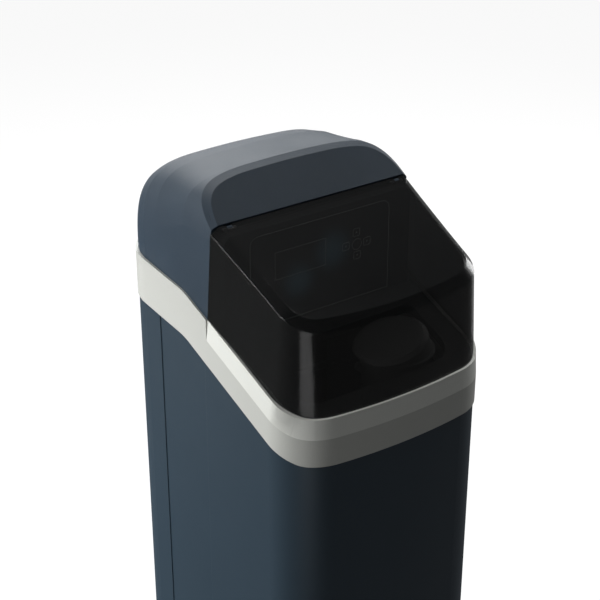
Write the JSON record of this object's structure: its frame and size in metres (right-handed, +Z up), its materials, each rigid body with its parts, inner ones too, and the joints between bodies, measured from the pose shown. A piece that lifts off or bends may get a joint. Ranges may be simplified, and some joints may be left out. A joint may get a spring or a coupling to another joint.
{
  "type": "water softener",
  "caption": "Compact cabinet water softener with a hinged smoked salt lid, control panel, resin tank, control valve and brine well.",
  "frame": {"origin": "middle of the cabinet's flat underside, on the floor", "axes": "+Z up, -Y to the front where the salt lid opens, +X to the right-hand side seen from the front"},
  "size_m": [0.358, 0.5964, 1.1002],
  "materials": {
    "body_navy": "satin moulded dark slate blue",
    "hood_grey": "fine textured blue-grey",
    "band_pale": "pale warm grey with a fine texture",
    "lid_smoke": "smoked clear",
    "panel_black": "satin black",
    "face_black": "gloss black",
    "cap_grey": "fine textured dark grey",
    "well_natural": "milky plain plastic",
    "float_white": "smooth white",
    "tank_resin": "wound glass-fibre shell with a clear coat",
    "bead_amber": "packed amber beads",
    "valve_black": "glass-filled black",
    "gear_white": "natural acetal",
    "steel": "bright zinc or stainless",
    "soft_black": "matt black rubber",
    "board_green": "solder mask",
    "fitting_grey": "mid grey"
  },
  "bodies": {
    "housing": {"cabinet": "body_navy", "rim_band": "band_pale", "hood": "hood_grey", "salt_opening_frame": "panel_black", "control_housing": "panel_black", "control_faceplate": "face_black", "display_window": "face_black", "display_module": "fitting_grey", "control_board": "board_green", "board_screws": "steel", "brine_well": "cap_grey", "brine_screen": "well_natural", "brine_valve_body": "fitting_grey", "brine_rod_guide": "fitting_grey", "brine_pickup_tube": "fitting_grey", "brine_hose": "valve_black", "resin_tank": "tank_resin", "tank_foot": "soft_black", "resin_bed": "bead_amber", "riser_tube": "well_natural", "bottom_distributor": "fitting_grey", "top_distributor": "fitting_grey", "tank_clamps": "valve_black", "clamp_clips": "steel", "tank_seal": "soft_black", "valve_body": "valve_black", "valve_cover": "valve_black", "rotor_seal": "soft_black", "wave_washer": "steel", "motor_plate": "steel", "valve_screws": "steel", "drive_motor": "steel", "position_switch": "panel_black", "nozzle_housing": "valve_black", "nozzle_cap": "valve_black", "nozzle_venturi": "gear_white", "drain_elbow": "fitting_grey", "turbine_support": "gear_white", "bypass_body": "valve_black", "port_clips": "gear_white", "inlet_adaptor": "fitting_grey", "outlet_adaptor": "fitting_grey", "overflow_grommet": "soft_black", "overflow_elbow": "fitting_grey", "cable_gland": "panel_black"},
    "lid": {"salt_lid": "lid_smoke", "lid_hinge_pins": "steel"},
    "key_up": {"button_up": "face_black"},
    "key_right": {"button_right": "face_black"},
    "key_left": {"button_left": "face_black"},
    "key_down": {"button_down": "face_black"},
    "key_select": {"button_select": "face_black"},
    "well_cap": {"brine_well_cap": "cap_grey"},
    "float": {"brine_float": "float_white", "brine_float_rod": "fitting_grey"},
    "rotor": {"rotor_disc": "gear_white", "drive_gear": "gear_white"},
    "pinion": {"motor_pinion": "gear_white"},
    "turbine_wheel": {"turbine": "gear_white"},
    "stem": {"bypass_stem": "fitting_grey"}
  },
  "joints": [
    {"name": "lid_hinge", "type": "hinge", "parent": "housing", "child": "lid", "pos_m": [0, -0.0267, 1.04712], "axis": [-1, 0, 0], "range_deg": [0, 97]},
    {"name": "press_up", "type": "slide", "parent": "housing", "child": "key_up", "axis": [0, 1, 0], "range_m": [0, 0.0008], "stiffness_N_per_m": 400},
    {"name": "press_right", "type": "slide", "parent": "housing", "child": "key_right", "axis": [0, 1, 0], "range_m": [0, 0.0008], "stiffness_N_per_m": 400},
    {"name": "press_left", "type": "slide", "parent": "housing", "child": "key_left", "axis": [0, 1, 0], "range_m": [0, 0.0008], "stiffness_N_per_m": 400},
    {"name": "press_down", "type": "slide", "parent": "housing", "child": "key_down", "axis": [0, 1, 0], "range_m": [0, 0.0008], "stiffness_N_per_m": 400},
    {"name": "press_select", "type": "slide", "parent": "housing", "child": "key_select", "axis": [0, 1, 0], "range_m": [0, 0.0008], "stiffness_N_per_m": 400},
    {"name": "cap_lift", "type": "slide", "parent": "housing", "child": "well_cap", "axis": [0, 0, 1], "range_m": [0, 0.03]},
    {"name": "float_rise", "type": "slide", "parent": "housing", "child": "float", "axis": [0, 0, 1], "range_m": [0, 0.012]},
    {"name": "rotor_spin", "type": "hinge", "parent": "housing", "child": "rotor", "pos_m": [0, 0.112, 1], "axis": [0, 0, 1], "continuous": true},
    {"name": "pinion_spin", "type": "hinge", "parent": "housing", "child": "pinion", "pos_m": [0.04525, 0.112, 1.024], "axis": [0, 0, 1], "continuous": true},
    {"name": "turbine_spin", "type": "hinge", "parent": "housing", "child": "turbine_wheel", "pos_m": [-0.035, 0.21, 0.963], "axis": [0, 1, 0], "continuous": true},
    {"name": "stem_slide", "type": "slide", "parent": "housing", "child": "stem", "axis": [-1, 0, 0], "range_m": [0, 0.025]}
  ],
  "couplings": [
    {"joint": "pinion_spin", "follows": "rotor_spin", "ratio": -4}
  ]
}
